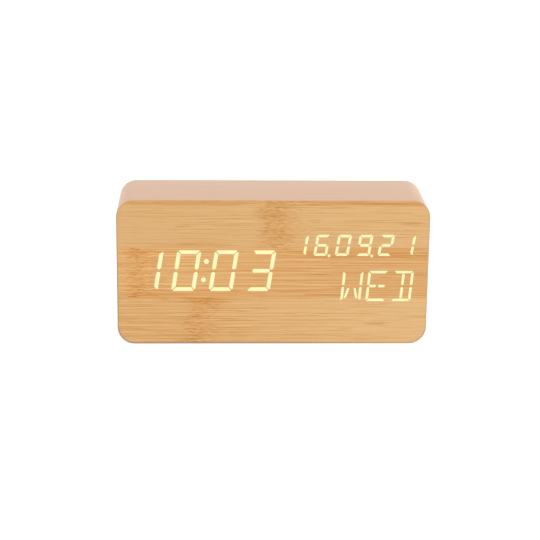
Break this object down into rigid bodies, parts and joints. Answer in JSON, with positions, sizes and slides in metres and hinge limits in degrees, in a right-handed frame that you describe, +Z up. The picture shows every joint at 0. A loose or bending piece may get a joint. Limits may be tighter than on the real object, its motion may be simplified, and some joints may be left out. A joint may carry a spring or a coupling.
{
  "type": "digital alarm clock",
  "caption": "Bamboo block alarm clock with a lit segment display in its face, and a rear cover with buttons, power socket and battery door.",
  "frame": {"origin": "middle of the flat base", "axes": "+X to the right seen from the front, +Y from the front to the rear, +Z up"},
  "size_m": [0.15, 0.04, 0.072],
  "materials": {
    "fibreboard": "raw milled fibreboard",
    "face_bamboo": "satin bamboo, grain across the face",
    "side_bamboo": "pale satin bamboo, grain along the clock",
    "rear_bamboo": "satin bamboo",
    "frame_black": "black moulding",
    "lit_fill": "translucent, lit from behind",
    "unlit_fill": "translucent, dark",
    "diode": "clear resin",
    "board_green": "green solder resist",
    "screw_steel": "zinc plated",
    "screw_black": "black oxide",
    "chip_black": "moulded resin",
    "can_metal": "drawn can",
    "cover_black": "fine moulded texture",
    "door_black": "fine moulded texture",
    "button_black": "satin",
    "plunger_dark": "plain",
    "switch_black": "plain",
    "cell_jacket": "printed jacket, bare",
    "nickel": "nickel plated strip",
    "spring_steel": "nickel plated wire",
    "lead_red": "insulated wire",
    "lead_black": "insulated wire",
    "ribbon_grey": "flat cable",
    "socket_black": "plain",
    "pin_metal": "nickel plated",
    "buzzer_brass": "rolled disc",
    "buzzer_white": "silvered ceramic"
  },
  "bodies": {
    "clock": {"case_core": "fibreboard", "side_veneer": "side_bamboo", "front_panel": "face_bamboo", "rear_veneer": "rear_bamboo", "display_frame": "frame_black", "time_segments": "lit_fill", "date_segments": "lit_fill", "weekday_segments": "lit_fill", "unlit_segments": "unlit_fill", "led_chips": "diode", "display_board": "board_green", "display_board_screws": "screw_steel", "controller_chip": "chip_black", "crystal": "can_metal", "capacitor": "can_metal", "rear_cover": "cover_black", "rear_cover_screws": "screw_black", "battery_cells": "cell_jacket", "positive_contact": "nickel", "negative_contact": "nickel", "bridge_contacts": "nickel", "battery_springs": "spring_steel", "positive_lead": "lead_red", "negative_lead": "lead_black", "ribbon_cable": "ribbon_grey", "button_board": "board_green", "button_board_screws": "screw_steel", "switch_bodies": "switch_black", "dc_jack": "socket_black", "dc_jack_pin": "pin_metal", "buzzer_plate": "buzzer_brass", "buzzer_ceramic": "buzzer_white"},
    "set_key": {"set_button": "button_black", "set_plunger": "plunger_dark"},
    "up_key": {"up_button": "button_black", "up_plunger": "plunger_dark"},
    "down_key": {"down_button": "button_black", "down_plunger": "plunger_dark"},
    "door": {"battery_door": "door_black"}
  },
  "joints": [
    {"name": "set_press", "type": "slide", "parent": "clock", "child": "set_key", "axis": [0, -1, 0], "range_m": [0, 0.0005], "stiffness_N_per_m": 2000},
    {"name": "up_press", "type": "slide", "parent": "clock", "child": "up_key", "axis": [0, -1, 0], "range_m": [0, 0.0005], "stiffness_N_per_m": 2000},
    {"name": "down_press", "type": "slide", "parent": "clock", "child": "down_key", "axis": [0, -1, 0], "range_m": [0, 0.0005], "stiffness_N_per_m": 2000},
    {"name": "door_tip", "type": "hinge", "parent": "clock", "child": "door", "pos_m": [0.03405, 0.0185, 0.018], "axis": [-1, 0, 0], "range_deg": [0, 60]}
  ]
}
